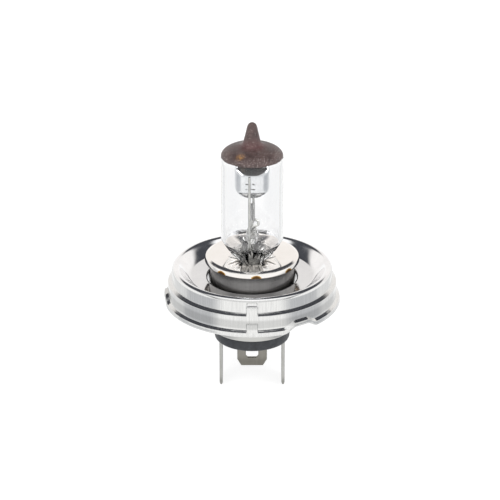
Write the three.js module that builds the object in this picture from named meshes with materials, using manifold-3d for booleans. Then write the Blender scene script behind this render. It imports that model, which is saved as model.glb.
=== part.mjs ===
// Twin-filament halogen headlight bulb on a three-blade prefocus base with a 45 mm collar.
// Millimetres. +Z runs up the lamp axis, and z = 0 is the plane of the blade tips.
// -Y is the side of the shield rod, and the rear blade is on +Y.

import * as THREE from "three";
import { mergeVertices } from "three/addons/utils/BufferGeometryUtils.js";
import Module from "manifold-3d";

const wasm = await Module();
wasm.setup();

// ---------- driving dimensions ----------

const gap = 0.3; // clearance between pieces that touch
const roundSides = 40; // facets of a turned piece
const collarSides = 60;
const arcSteps = 4; // facets of a quarter round
const bendSteps = 3; // facets of a small bend
const domeSteps = 9;
const holeSides = 8;
const wireSides = 6;
const wireStep = 0.9; // length of a wire's facets
const coilSides = 5;
const coilStepsPerTurn = 8;
const past = 1; // how far a cut runs past the face it opens

// base
const bladeReach = 12.75; // blade below the insulator
const bladeWidth = 7.7;
const bladeThickness = 0.8;
const bladeRoot = 4.6; // blade above the insulator's underside
const bladeRootWidth = 5.4; // narrower where it passes through the insulator
const bladeChamfer = 1.9;
const bladeChamferWidth = 1.05;
const bladeInset = 1.7; // rim of the insulator to the middle of a blade
const bladeHoleWidth = 3.2;
const bladeHoleEnd = 2.2; // width of the hole at its ends
const bladeHoleHeight = 3.6;
const bladeHoleRise = 2.4; // blade tip to the lower end of its hole
const insulatorInset = 1.0; // rim inside the can's outer radius
const insulatorRim = 2.8;
const insulatorSpigot = 2.6; // spigot height above the rim, inside the can
const insulatorRound = 0.6;
const insulatorWell = 5.2; // radius of the wire well in the middle
const insulatorDish = 1.0; // depth of the dish under the well

// can and disc
const canRadius = 10.6;
const canHeight = 19.0;
const canWall = 0.5;
const canCurl = 0.5; // inward curl at the foot of the can
const discOverhang = 1.3; // disc beyond the can
const discThickness = 0.4;
const discRimDrop = 1.1; // rolled rim below the plate
const discRound = 0.7;

// collar
const flangeRise = 7.25; // foot of the can up to the underside of the lip
const sheet = 0.6;
const lipRadius = 22.5;
const lipReach = 0.85; // lip beyond the lower wall
const lowerWall = 5.5; // underside of the lip to the ledge
const ledgeWidth = 1.45;
const crestHeight = 9.35; // underside of the lip to the top of the crest
const crestRound = 1.1;
const crestStart = 67; // degrees at which the slope meets the crest
const bendRound = 0.45; // small bends of the pressed sheet
const slopeWidth = 3.8; // floor's edge to the crest
const floorDrop = 1.85; // crest down to the floor
const neckClearance = 0.8; // neck beyond the can
const neckDepth = 3.2;
const neckRound = 1.0;
const ribCount = 3;
const ribWidth = 2.75;
const ribHeight = 2.0;
const notchCount = 3;
const notchAzimuth = -56; // degrees from +X
const notchHalfAngle = 13;
const notchRise = 1.5;
const notchRamp = 0.7; // share of the half angle taken by a notch's ramp

// quartz
const tubeRadius = 7.8;
const tubeWall = 0.95;
const tubeLength = 23.2; // shoulder to the edge of the dome
const shoulderRise = 3.45; // disc top to the shoulder
const domeRise = 2.85;
const coatThickness = 0.35;
const coatStep = 0.1; // painted dome inside the tube's radius
const tipLength = 5.9; // exhaust tip above the dome
const tipRadius = 1.15;
const tipBaseRadius = 1.85;
const tipFlare = 3.6; // radius where the dome starts to rise into the tip
const tipFlareRise = 1.2; // dome's crown to the foot of the straight tip
const tipTaper = 10; // degrees of the tip's cap left off for its taper
const pinchThickness = 3.8;
const pinchWidth = 11.0;
const pinchDepth = 9.4; // pinch below the disc top
const pinchRound = 0.6;
const chamberDrop = 0.9; // top of the chamber below the edge of the dome's glass
const chamberDome = 2.2;
const pinchEdge = 0.85; // quartz outside the outer foils
const foilLength = 4.6;
const foilThickness = 0.2;
const foilDrop = 2.4; // disc top down to the foils
const pinchRib = 0.6; // quartz between two foils

// wires, filaments and shield
const wireRadius = 0.32;
const outerLeadRadius = 0.4;
const coilRadius = 0.62;
const coilWireRadius = 0.14;
const highBeamTurns = 7;
const highBeamLength = 4.6;
const highBeamRise = 9.3; // disc top to the foot of the coil
const lowBeamTurns = 8;
const lowBeamLength = 5.2;
const lowBeamRise = 17.2;
const lowWireBend = 1.6; // bend of the low-beam wire over the coil
const leadKnee = 0.35; // share of the way out at an outer lead's knee
const leadDrop = 0.85; // share of the way out where it turns down
const coilLeg = 0.9;
const coilLegRadius = 0.31; // lamp axis to the end of a leg
const coilLegSteps = 6;
const shieldHalfWidth = 4.3;
const shieldDepth = 3.2;
const shieldWall = 0.25;
const shieldTopRise = 24.3; // disc top to the shield's open end
const shieldLength = 8.7;
const shieldBevel = 1.2; // height of the edge bent in at the top
const shieldBevelIn = 0.8;
const shieldBowl = 3.3; // height of the rounded end
const rodOffset = -0.65;
const rodTopDrop = 1.85; // shield top down to the end of the rod
const bridgeRise = 3.6;
const bridgeHeight = 3.3;
const bridgeHalfWidth = 1.9;
const bridgeRound = 0.8;
const bridgeEnd = 0.26; // quartz beyond the holes in the bridge

// crown and holder
const crownSheet = 0.3;
const crownDepth = 2.6; // sleeve below the disc top
const crownFlankInset = 1.0; // flank row shorter than the sleeve at each end
const crownStand = 0.3; // sleeve above the disc top
const endSpikes = 6;
const endSpikeLength = 3.2;
const flankSpikes = 5;
const flankSpikeLength = 1.7;
const spikeClear = 6; // degrees that a spike leans away from the shoulder
const spikeFan = 6; // degrees between neighbouring spikes
const spikeTip = 0.24;
const wingReach = 3.4;
const wingWidth = 1.2;
const wingPlace = -4.2; // the wing's near edge, along Y
const holderRise = 5.2; // disc top down to the holder plate
const holderPlate = 0.4;
const holderLeaf = 3.4;
const holderLeafInset = 1.0; // leaf shorter than the pinch at each side

// ---------- levels, all from the sizes above ----------

const insulatorFoot = bladeReach;
const canFoot = insulatorFoot + insulatorRim + gap;
const canTop = canFoot + canHeight;
const discTop = canTop + gap + discThickness;
const flange = canFoot + flangeRise;
const shoulder = discTop + shoulderRise;
const domeFoot = shoulder + tubeLength;
const pinchFoot = discTop - pinchDepth;
const pinchTop = discTop + 2 * gap;
const sleeveX = pinchThickness / 2 + gap;
const sleeveY = pinchWidth / 2 + gap;
const shieldTop = discTop + shieldTopRise;
const shieldFoot = shieldTop - shieldLength;
const bridgeFoot = discTop + bridgeRise;
const insulatorRadius = canRadius - insulatorInset;
const bladeSpread = insulatorRadius - bladeInset;
const discRadius = canRadius + discOverhang;
const neckRadius = canRadius + neckClearance;
const upperRadius = lipRadius - lipReach - ledgeWidth;
const lowerRadius = lipRadius - lipReach;
const crestRadius = upperRadius - crestRound;
const floorRadius = crestRadius - slopeWidth;
const collarFloor = flange + crestHeight - floorDrop;
const coatRadius = tubeRadius - coatStep;
const leadCount = 3;
const quartzAcross = 2 * pinchEdge + (leadCount - 1) * pinchRib;
const foilWidth = (pinchWidth - quartzAcross) / leadCount - 2 * gap;
const leadPitch = foilWidth + 2 * gap + pinchRib;
const leadPlaces = [-leadPitch, 0, leadPitch];
const rodPlace = -(shieldDepth + gap + wireRadius);
const bridgeHalfLength = Math.max(-rodPlace, leadPitch) + wireRadius + gap + bridgeEnd;
const bridgeTop = bridgeFoot + bridgeHeight;
const bladeTabTop = insulatorFoot + bladeRoot;
const bladeShoulder = insulatorFoot - gap;
const spigotTop = insulatorFoot + insulatorRim + insulatorSpigot;

// ---------- helpers ----------

const degrees = THREE.MathUtils.degToRad;
const point = (x, y) => new THREE.Vector2(x, y);

// A closed mesh as a manifold-3d solid facing out.
function solid(geometry) {
  const bare = geometry.index ? geometry.toNonIndexed() : geometry.clone();
  bare.deleteAttribute("normal");
  bare.deleteAttribute("uv");
  const merged = mergeVertices(bare, 1e-4);
  const corners = merged.index.array;
  const kept = [];
  for (let i = 0; i < corners.length; i += 3) {
    const [a, b, c] = corners.slice(i, i + 3);
    if (a !== b && b !== c && c !== a) kept.push(a, b, c);
  }
  const vertProperties = merged.attributes.position.array;
  const triVerts = new Uint32Array(kept);
  return new wasm.Manifold(new wasm.Mesh({ numProp: 3, vertProperties, triVerts }));
}

// Points of an arc about (x, y), from one angle to another in degrees.
function arc(x, y, rx, ry, from, to, steps = arcSteps) {
  return Array.from({ length: steps + 1 }, (_, i) => {
    const a = degrees(from + ((to - from) * i) / steps);
    return point(x + rx * Math.cos(a), y + ry * Math.sin(a));
  });
}

// A profile of (radius, height) points turned about the lamp axis, listed anticlockwise.
function turned(profile, sides = roundSides) {
  const geometry = new THREE.LatheGeometry(profile, sides).rotateX(Math.PI / 2);
  return solid(geometry);
}

// The same for a profile that doesn't reach the axis.
function turnedRing(profile, sides = roundSides) {
  return turned([...profile, profile[0].clone()], sides);
}

// An outline in the XY plane, raised from one height to another.
function prism(outline, from, to) {
  const options = { depth: to - from, bevelEnabled: false, curveSegments: arcSteps };
  return solid(new THREE.ExtrudeGeometry(outline, options).translate(0, 0, from));
}

// An outline in the XZ plane, extruded from one y to another.
function prismAlongY(outline, from, to) {
  const options = { depth: to - from, bevelEnabled: false, curveSegments: arcSteps };
  const geometry = new THREE.ExtrudeGeometry(outline, options);
  return solid(geometry.rotateX(Math.PI / 2).translate(0, to, 0));
}

function block(x0, x1, y0, y1, z0, z1) {
  const box = new THREE.BoxGeometry(x1 - x0, y1 - y0, z1 - z0);
  return solid(box.translate((x0 + x1) / 2, (y0 + y1) / 2, (z0 + z1) / 2));
}

// A rectangle about the axis with rounded corners.
function roundedRectangle(halfX, halfY, radius) {
  return new THREE.Shape([
    ...arc(halfX - radius, halfY - radius, radius, radius, 0, 90, bendSteps),
    ...arc(radius - halfX, halfY - radius, radius, radius, 90, 180, bendSteps),
    ...arc(radius - halfX, radius - halfY, radius, radius, 180, 270, bendSteps),
    ...arc(halfX - radius, radius - halfY, radius, radius, 270, 360, bendSteps),
  ]);
}

function disk(radius, sides) {
  return new THREE.Shape(arc(0, 0, radius, radius, 0, 360, sides).slice(0, -1));
}

// A round wire along a curve.
function wire(curve, radius, steps = Math.ceil(curve.getLength() / wireStep), sides = wireSides) {
  const options = { extrudePath: curve, steps, bevelEnabled: false };
  return solid(new THREE.ExtrudeGeometry(disk(radius, sides), options));
}

function smooth(points) {
  return new THREE.CatmullRomCurve3(points.map((p) => new THREE.Vector3(...p)), false, "centripetal");
}

function union(solids) {
  return solids.reduce((sum, next) => sum.add(next));
}

const group = new THREE.Group();

// Adds a solid to the object as a named mesh.
function piece(name, body, finish) {
  const { numProp, vertProperties, triVerts } = body.getMesh();
  const geometry = new THREE.BufferGeometry();
  geometry.setAttribute("position", new THREE.BufferAttribute(vertProperties, numProp));
  geometry.setIndex(new THREE.BufferAttribute(triVerts, 1));
  geometry.computeVertexNormals();
  const mesh = new THREE.Mesh(geometry, new THREE.MeshStandardMaterial({ ...finish, flatShading: true }));
  mesh.name = name;
  group.add(mesh);
}

// ---------- finishes ----------

const quartz = { color: 0xf4f6f8, roughness: 0.05, metalness: 0, transparent: true, opacity: 0.35 };
const brownPaint = { color: 0x64524d, roughness: 0.55, metalness: 0.1 };
const brightSheet = { color: 0xe6e8ea, roughness: 0.12, metalness: 1 };
const wireMetal = { color: 0xb4b4b0, roughness: 0.35, metalness: 1 };
const tungsten = { color: 0x8c8c8c, roughness: 0.45, metalness: 1 };
const foilMetal = { color: 0x9a9894, roughness: 0.4, metalness: 1 };
const warmNickel = { color: 0xefe6da, roughness: 0.08, metalness: 1 };
const satinSteel = { color: 0x7d7a76, roughness: 0.38, metalness: 1 };
const pressedSteel = { color: 0xc4c6c4, roughness: 0.3, metalness: 1 };
const blackPlastic = { color: 0x2f3236, roughness: 0.5, metalness: 0 };
const bladeMetal = { color: 0xaaa69c, roughness: 0.35, metalness: 1 };

// ---------- quartz envelope and its coating ----------

// Dome and exhaust tip, from the dome's edge to the axis, set in from the painted surface.
function domeProfile(inset) {
  const dome = arc(0, domeFoot, coatRadius - inset, domeRise - inset, 0, 90, domeSteps);
  const side = dome.filter((p) => p.x > tipFlare);
  const crown = domeFoot + domeRise;
  const roundRadius = tipRadius - inset;
  const roundCentre = crown + tipLength - tipRadius;
  const flare = new THREE.QuadraticBezierCurve(
    side.at(-1),
    point(tipBaseRadius - inset, crown - inset),
    point(tipBaseRadius - inset, crown + tipFlareRise),
  );
  const tip = arc(0, roundCentre, roundRadius, roundRadius, tipTaper, 90);
  return [...side, ...flare.getPoints(arcSteps).slice(1), ...tip];
}

// Everything within the shoulder as seen from the front, where the tube closes to the flat pinch.
function withinShoulder(tubeHalf, foot, pinchHalf) {
  const top = domeFoot + domeRise + tipLength + past;
  const outline = new THREE.Shape([
    point(-tubeHalf, top),
    point(-tubeHalf, shoulder),
    point(-pinchHalf, foot),
    point(pinchHalf, foot),
    point(tubeHalf, shoulder),
    point(tubeHalf, top),
  ]);
  return prismAlongY(outline, -tubeRadius - past, tubeRadius + past);
}

function makeEnvelope() {
  const coatInset = coatThickness + gap;
  const outerTube = turned([
    point(0, pinchTop),
    point(tubeRadius, pinchTop),
    point(tubeRadius, domeFoot - gap),
    point(coatRadius - coatInset, domeFoot - gap),
    ...domeProfile(coatInset),
  ]);
  const across = withinShoulder(tubeRadius, pinchTop, pinchThickness / 2);
  const along = withinShoulder(tubeRadius, pinchTop, pinchWidth / 2).rotate([0, 0, 90]);
  const pinch = prism(
    roundedRectangle(pinchThickness / 2, pinchWidth / 2, pinchRound),
    pinchFoot,
    pinchTop + gap,
  );
  const outside = outerTube.intersect(across).intersect(along).add(pinch);

  const boreRadius = tubeRadius - tubeWall;
  const chamberTop = domeFoot - gap - chamberDrop;
  const slotHalf = Math.max(outerLeadRadius, wireRadius) + gap;
  const chamberFoot = pinchTop + tubeWall;
  const bore = turned([
    point(0, chamberFoot),
    point(boreRadius, chamberFoot),
    ...arc(0, chamberTop, boreRadius, chamberDome, 0, 90, domeSteps),
  ]);
  const boreAcross = withinShoulder(boreRadius, chamberFoot, slotHalf);
  const boreAlong = withinShoulder(boreRadius, chamberFoot, pinchWidth / 2 - tubeWall).rotate([0, 0, 90]);
  const chamber = bore.intersect(boreAcross).intersect(boreAlong);
  const slotY = foilWidth / 2 + gap;
  const slots = leadPlaces.map((y) =>
    block(-slotHalf, slotHalf, y - slotY, y + slotY, pinchFoot - past, chamberFoot + gap),
  );
  return outside.subtract(union([chamber, ...slots]));
}

function makeCoating() {
  const outside = domeProfile(0);
  const inside = domeProfile(coatThickness).reverse();
  return turned([...inside, ...outside], roundSides);
}

// ---------- wires, filaments and shield inside the tube ----------

// A coil along +Z at (0, 0), with a straight leg at each end that leaves it tangent to the coil.
class Coil extends THREE.Curve {
  constructor(foot, length, turns) {
    super();
    Object.assign(this, { foot, length, turns });
  }
  getPoint(t) {
    const total = this.length + 2 * coilLeg;
    const z = t * total - coilLeg;
    const inside = THREE.MathUtils.clamp(z / this.length, 0, 1);
    const outside = z - inside * this.length;
    const legStart = Math.min(Math.abs(outside) / coilLeg, 1);
    const radius = THREE.MathUtils.lerp(coilRadius, coilLegRadius, legStart);
    const angle = 2 * Math.PI * this.turns * inside;
    return new THREE.Vector3(radius * Math.cos(angle), radius * Math.sin(angle), this.foot + z);
  }
}

function makeFilament(rise, length, turns) {
  const curve = new Coil(discTop + rise, length, turns);
  return wire(curve, coilWireRadius, turns * coilStepsPerTurn + coilLegSteps, coilSides);
}

// Half a capsule, flattened from front to back: open at the top and at the back.
function shieldBody(inset) {
  const radius = shieldHalfWidth - inset;
  const bowlTop = shieldFoot + shieldBowl;
  const over = inset > 0 ? past : 0;
  const profile = [
    ...arc(0, bowlTop, radius, shieldBowl - inset, -90, 0, domeSteps),
    point(radius, shieldTop - shieldBevel),
    point(radius - shieldBevelIn, shieldTop),
    point(radius - shieldBevelIn, shieldTop + over),
    point(0, shieldTop + over),
  ];
  const geometry = new THREE.LatheGeometry(profile, roundSides).rotateX(Math.PI / 2);
  geometry.scale(1, (shieldDepth - inset) / radius, 1);
  return solid(geometry);
}

function makeShield() {
  const reach = shieldHalfWidth + past;
  const front = block(-reach, reach, -reach, 0, shieldFoot - past, shieldTop);
  return shieldBody(0).intersect(front).subtract(shieldBody(shieldWall));
}

const wireFoot = discTop - foilDrop + gap; // inner wires end just above the foils

function makeShieldRod() {
  const path = smooth([
    [0, -leadPitch, wireFoot],
    [0, -leadPitch, discTop + shoulderRise / 2],
    [rodOffset, rodPlace, bridgeFoot - 2 * gap],
    [rodOffset, rodPlace, bridgeTop],
    [rodOffset, rodPlace, shieldTop - rodTopDrop],
  ]);
  return wire(path, wireRadius);
}

function makeHighBeamWire() {
  const coilFoot = discTop + highBeamRise;
  const hook = (bridgeTop + coilFoot) / 2;
  const beside = coilRadius + coilWireRadius + gap + wireRadius;
  const path = smooth([
    [0, 0, wireFoot],
    [0, 0, bridgeFoot],
    [0, 0, bridgeTop],
    [beside / 2, 0, hook - wireRadius],
    [beside, 0, hook],
    [beside, 0, coilFoot + gap],
  ]);
  return wire(path, wireRadius);
}

function makeLowBeamWire() {
  const top = shieldTop + wireRadius + gap;
  const path = smooth([
    [0, leadPitch, wireFoot],
    [0, leadPitch, bridgeFoot],
    [0, leadPitch, bridgeTop],
    [wireRadius, leadPitch, discTop + highBeamRise],
    [wireRadius, leadPitch, top - lowWireBend],
    [wireRadius, leadPitch - lowWireBend / 3, top - lowWireBend / 4],
    [wireRadius, leadPitch - lowWireBend, top],
    [0, wireRadius + gap, top],
  ]);
  return wire(path, wireRadius);
}

function makeBridge() {
  const outline = roundedRectangle(bridgeHalfWidth, bridgeHalfLength, bridgeRound);
  const bar = prism(outline, bridgeFoot, bridgeTop);
  const places = [
    [rodOffset, rodPlace],
    [0, 0],
    [0, leadPitch],
  ];
  const hole = wireRadius + gap;
  const holes = places.map(([x, y]) =>
    prism(disk(hole, holeSides), bridgeFoot - past, bridgeTop + past).translate([x, y, 0]),
  );
  return bar.subtract(union(holes));
}

function makeFoil(y) {
  const top = discTop - foilDrop;
  const half = foilThickness / 2;
  return block(-half, half, y - foilWidth / 2, y + foilWidth / 2, top - foilLength, top);
}

// ---------- base: leads, blades and insulator ----------

const bladePlaces = [
  { name: "left", x: -bladeSpread, y: 0, turn: 90 },
  { name: "right", x: bladeSpread, y: 0, turn: 90 },
  { name: "rear", x: 0, y: bladeSpread, turn: 0 },
];

// A flat blade in the XZ plane about the origin, with a chamfered tip and a latch hole.
function makeBlade(holed) {
  const half = bladeWidth / 2;
  const root = bladeRootWidth / 2;
  const outline = new THREE.Shape([
    point(-root, bladeTabTop),
    point(-root, bladeShoulder),
    point(-half, bladeShoulder),
    point(-half, bladeChamfer),
    point(bladeChamferWidth - half, 0),
    point(half - bladeChamferWidth, 0),
    point(half, bladeChamfer),
    point(half, bladeShoulder),
    point(root, bladeShoulder),
    point(root, bladeTabTop),
  ]);
  if (holed) {
    const side = bladeHoleWidth / 2;
    const end = bladeHoleEnd / 2;
    const foot = bladeHoleRise;
    const top = foot + bladeHoleHeight;
    const slant = side - end;
    outline.holes.push(
      new THREE.Path([
        point(-end, foot),
        point(end, foot),
        point(side, foot + slant),
        point(side, top - slant),
        point(end, top),
        point(-end, top),
        point(-side, top - slant),
        point(-side, foot + slant),
      ]),
    );
  }
  return prismAlongY(outline, -bladeThickness / 2, bladeThickness / 2);
}

function makeInsulator() {
  const foot = insulatorFoot;
  const rimTop = foot + insulatorRim;
  const spigotRadius = canRadius - canWall - canCurl - gap;
  const edge = insulatorRadius - insulatorRound;
  const wellTop = foot + insulatorDish;
  const body = turned([
    point(0, wellTop),
    point(insulatorWell, wellTop),
    point(insulatorWell, foot),
    ...arc(edge, foot + insulatorRound, insulatorRound, insulatorRound, -90, 0, bendSteps),
    point(insulatorRadius, rimTop),
    point(spigotRadius, rimTop),
    point(spigotRadius, spigotTop),
    point(insulatorWell, spigotTop),
    point(insulatorWell, rimTop),
    point(0, rimTop),
  ]);
  const slotX = bladeRootWidth / 2 + gap;
  const slotY = bladeThickness / 2 + gap;
  const slots = bladePlaces.map(({ x, y, turn }) =>
    block(-slotX, slotX, -slotY, slotY, foot - past, spigotTop + past)
      .rotate([0, 0, turn])
      .translate([x, y, 0]),
  );
  return body.subtract(union(slots));
}

// From the foot of a foil, out of the pinch and across to the inner end of a blade.
function makeOuterLead(leadY, blade) {
  const top = discTop - foilDrop - foilLength - gap;
  const inward = bladeThickness / 2 + gap + outerLeadRadius;
  const endX = blade.x - Math.sign(blade.x) * inward;
  const endY = blade.y - Math.sign(blade.y) * inward;
  const end = spigotTop + outerLeadRadius + gap;
  const onTheWay = (share, z) => [endX * share, leadY + (endY - leadY) * share, z];
  const path = smooth([
    [0, leadY, top],
    [0, leadY, pinchFoot - outerLeadRadius],
    onTheWay(leadKnee, (pinchFoot + end) / 2 + outerLeadRadius),
    onTheWay(leadDrop, end + 3 * outerLeadRadius),
    [endX, endY, end],
  ]);
  return wire(path, outerLeadRadius);
}

// ---------- can, disc, crown and holder ----------

function makeCan() {
  const inner = canRadius - canWall;
  return turnedRing([
    point(inner - canCurl, canFoot),
    ...arc(canRadius - canCurl, canFoot + canCurl, canCurl, canCurl, -90, 0, bendSteps),
    point(canRadius, canTop),
    point(inner, canTop),
    point(inner, canFoot + canCurl + canWall),
    point(inner - canCurl, canFoot + canCurl),
  ]);
}

function makeDisc() {
  const underside = discTop - discThickness;
  const rimFoot = underside - discRimDrop;
  const rimInner = canRadius + gap;
  const plate = turned([
    point(0, underside),
    point(rimInner, underside),
    point(rimInner, rimFoot),
    ...arc(discRadius - discRound, rimFoot + discRound, discRound, discRound, -90, 0),
    ...arc(discRadius - discRound, discTop - discRound, discRound, discRound, 0, 90),
    point(0, discTop),
  ]);
  const openX = sleeveX + crownSheet + gap;
  const openY = sleeveY + crownSheet + gap;
  return plate.subtract(block(-openX, openX, -openY, openY, underside - past, discTop + past));
}

// A row of pointed tabs along X at the sleeve's edge, leaning away from the pinch towards -Y.
function spikeRow(count, length, halfLength, edge) {
  const width = (2 * halfLength) / count;
  const shoulderSlope = Math.atan2(tubeRadius - edge + gap, shoulder - pinchTop);
  const lean = THREE.MathUtils.radToDeg(shoulderSlope) + spikeClear;
  const outline = new THREE.Shape([
    point(-width / 2, 0),
    point(width / 2, 0),
    point(spikeTip / 2, length),
    point(-spikeTip / 2, length),
  ]);
  const spikes = Array.from({ length: count }, (_, i) => {
    const step = i - (count - 1) / 2;
    return prismAlongY(outline, -crownSheet / 2, crownSheet / 2)
      .rotate([lean, 0, 0])
      .rotate([0, spikeFan * step, 0])
      .translate([width * step, -(edge + crownSheet / 2), discTop + crownStand]);
  });
  return union(spikes);
}

function makeCrown() {
  const foot = discTop - crownDepth;
  const top = discTop + crownStand;
  const outer = roundedRectangle(sleeveX + crownSheet, sleeveY + crownSheet, pinchRound + crownSheet);
  const inner = roundedRectangle(sleeveX, sleeveY, pinchRound);
  const sleeve = prism(outer, foot, top).subtract(prism(inner, foot - past, top + past));
  const ends = spikeRow(endSpikes, endSpikeLength, sleeveX, sleeveY);
  const flank = spikeRow(flankSpikes, flankSpikeLength, sleeveY - crownFlankInset, sleeveX);
  const wingFoot = discTop + crownStand;
  const wingEdge = sleeveX + crownSheet / 2;
  const wingTop = wingFoot + crownSheet;
  const wing = block(wingEdge, wingEdge + wingReach, wingPlace, wingPlace + wingWidth, wingFoot, wingTop);
  const parts = [sleeve, wing, wing.mirror([1, 0, 0])];
  for (const turn of [0, 180]) {
    parts.push(ends.rotate([0, 0, turn]), flank.rotate([0, 0, turn + 90]));
  }
  return union(parts);
}

function makeHolder() {
  const top = discTop - holderRise;
  const foot = top - holderPlate;
  const radius = canRadius - canWall - gap;
  const plate = prism(disk(radius, roundSides), foot, top);
  const openX = pinchThickness / 2 + gap;
  const openY = pinchWidth / 2 + gap;
  const opening = block(-openX, openX, -openY, openY, foot - past, top + past);
  const leafY = pinchWidth / 2 - holderLeafInset;
  const leaf = block(openX, openX + holderPlate, -leafY, leafY, foot - holderLeaf, top);
  return plate.subtract(opening).add(leaf).add(leaf.mirror([1, 0, 0]));
}

// ---------- collar ----------

// The pressed sheet's upper and outer surface, from the neck to the lip, as (radius, height).
// offset is the depth below that surface.
function collarSkin(offset) {
  const crest = flange + crestHeight - offset;
  const floor = collarFloor - offset;
  const upper = upperRadius - offset;
  const lower = lowerRadius - offset;
  const ledge = flange + lowerWall - offset;
  const lipTop = flange + sheet - offset;
  const neckBend = neckRound - offset;
  const crestBend = crestRound - offset;
  const slope = new THREE.QuadraticBezierCurve(
    point(floorRadius + offset / 2, floor),
    point(crestRadius - slopeWidth / 3, floor + bendRound / 2),
    point(crestRadius, crest),
  );
  return [
    point(canRadius + gap + offset, collarFloor - neckDepth),
    ...arc(neckRadius + neckRound, floor - neckBend, neckBend, neckBend, 180, 90, bendSteps),
    ...slope.getPoints(arcSteps),
    ...arc(crestRadius, crest - crestBend, crestBend, crestBend, crestStart, 0, bendSteps),
    point(upper, ledge + bendRound),
    point(upper + bendRound, ledge),
    point(lower - bendRound, ledge),
    point(lower, ledge - bendRound),
    point(lower, lipTop + 2 * bendRound),
    point(lower + bendRound / 2, lipTop + bendRound / 2),
    point(lower + sheet, lipTop),
  ];
}

// Height by which a notch lifts the lip at an azimuth in degrees.
function notchLift(azimuth) {
  const pitch = 360 / notchCount;
  const away = THREE.MathUtils.euclideanModulo(azimuth - notchAzimuth + pitch / 2, pitch) - pitch / 2;
  const share = THREE.MathUtils.clamp(1 - Math.abs(away) / notchHalfAngle, 0, 1);
  return notchRise * THREE.MathUtils.smoothstep(share, 0, notchRamp);
}

function makeCollar() {
  const profile = [
    point(lipRadius, flange + sheet),
    ...collarSkin(0).reverse(),
    ...collarSkin(sheet),
    point(lipRadius, flange),
    point(lipRadius, flange + sheet),
  ];
  const geometry = new THREE.LatheGeometry(profile, collarSides).rotateX(Math.PI / 2);
  const place = geometry.attributes.position;
  for (let i = 0; i < place.count; i += 1) {
    const [x, y, z] = [place.getX(i), place.getY(i), place.getZ(i)];
    const low = 1 - THREE.MathUtils.smoothstep(z - flange, 2 * sheet, lowerWall - 2 * sheet);
    const outward = Math.hypot(x, y) > lowerRadius - 2 * sheet ? 1 : 0;
    const azimuth = THREE.MathUtils.radToDeg(Math.atan2(y, x));
    place.setZ(i, z + outward * low * notchLift(azimuth));
  }
  const ledge = flange + lowerWall;
  const root = sheet / 2; // depth of a rib's foot in the sheet
  const ribs = [
    [
      point(upperRadius - root, ledge - root),
      point(lowerRadius - root, ledge - root),
      point(upperRadius - root, ledge + ribHeight),
    ],
    [
      point(lowerRadius - root, flange + root),
      point(lipRadius - gap, flange + root),
      point(lowerRadius - root, flange + ribHeight),
    ],
  ];
  const added = [];
  for (let i = 0; i < ribCount; i += 1) {
    for (const corners of ribs) {
      const rib = prismAlongY(new THREE.Shape(corners), -ribWidth / 2, ribWidth / 2);
      added.push(rib.rotate([0, 0, -90 + (360 * i) / ribCount]));
    }
  }
  return solid(geometry).add(union(added));
}

// ---------- assembly ----------

piece("glass_envelope", makeEnvelope(), quartz);
piece("dome_coating", makeCoating(), brownPaint);
piece("dip_shield", makeShield(), brightSheet);
piece("low_beam_filament", makeFilament(lowBeamRise, lowBeamLength, lowBeamTurns), tungsten);
piece("high_beam_filament", makeFilament(highBeamRise, highBeamLength, highBeamTurns), tungsten);
piece("shield_rod", makeShieldRod(), wireMetal);
piece("high_beam_wire", makeHighBeamWire(), wireMetal);
piece("low_beam_wire", makeLowBeamWire(), wireMetal);
piece("quartz_bridge", makeBridge(), quartz);

const leadNames = ["front", "middle", "rear"];
leadNames.forEach((name, i) => {
  const y = leadPlaces[i];
  piece("foil_" + name, makeFoil(y), foilMetal);
  piece("outer_lead_" + name, makeOuterLead(y, bladePlaces[i]), wireMetal);
});

for (const { name, x, y, turn } of bladePlaces) {
  const blade = makeBlade(name === "rear").rotate([0, 0, turn]).translate([x, y, 0]);
  piece("blade_" + name, blade, bladeMetal);
}

piece("insulator_base", makeInsulator(), blackPlastic);
piece("can_shell", makeCan(), satinSteel);
piece("cap_disc", makeDisc(), warmNickel);
piece("retainer_crown", makeCrown(), brightSheet);
piece("pinch_holder", makeHolder(), satinSteel);
piece("prefocus_collar", makeCollar(), pressedSteel);

export default group;
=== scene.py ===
"""Headlight bulb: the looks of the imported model.

Sizes here are in millimetres, and make_object scales them to metres.
"""

import math
import random

import bmesh
import bpy
import numpy as np
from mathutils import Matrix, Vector, noise


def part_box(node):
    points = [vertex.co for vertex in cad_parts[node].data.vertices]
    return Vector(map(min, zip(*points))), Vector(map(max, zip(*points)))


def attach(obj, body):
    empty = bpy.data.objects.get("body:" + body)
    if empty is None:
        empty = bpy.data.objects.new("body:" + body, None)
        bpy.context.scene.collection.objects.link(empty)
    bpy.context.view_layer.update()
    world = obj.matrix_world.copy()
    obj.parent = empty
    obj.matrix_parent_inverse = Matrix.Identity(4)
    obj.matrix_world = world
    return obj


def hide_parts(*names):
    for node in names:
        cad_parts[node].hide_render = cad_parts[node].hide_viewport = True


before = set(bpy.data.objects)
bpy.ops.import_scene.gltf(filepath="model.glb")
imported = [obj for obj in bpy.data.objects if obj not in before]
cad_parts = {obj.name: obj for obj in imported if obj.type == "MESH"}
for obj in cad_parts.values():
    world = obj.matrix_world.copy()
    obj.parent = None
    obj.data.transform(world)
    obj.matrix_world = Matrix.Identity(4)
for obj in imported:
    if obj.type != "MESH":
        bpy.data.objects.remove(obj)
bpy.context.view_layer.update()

MM = 0.001
FRONT = -math.pi / 2  # azimuth of the side towards the camera


def node_box(name):
    """Lowest and highest corner of a CAD node in millimetres."""
    lo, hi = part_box(name)
    return np.array(lo) / MM, np.array(hi) / MM


# ---------- levels and radii, read from the frame ----------

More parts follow.
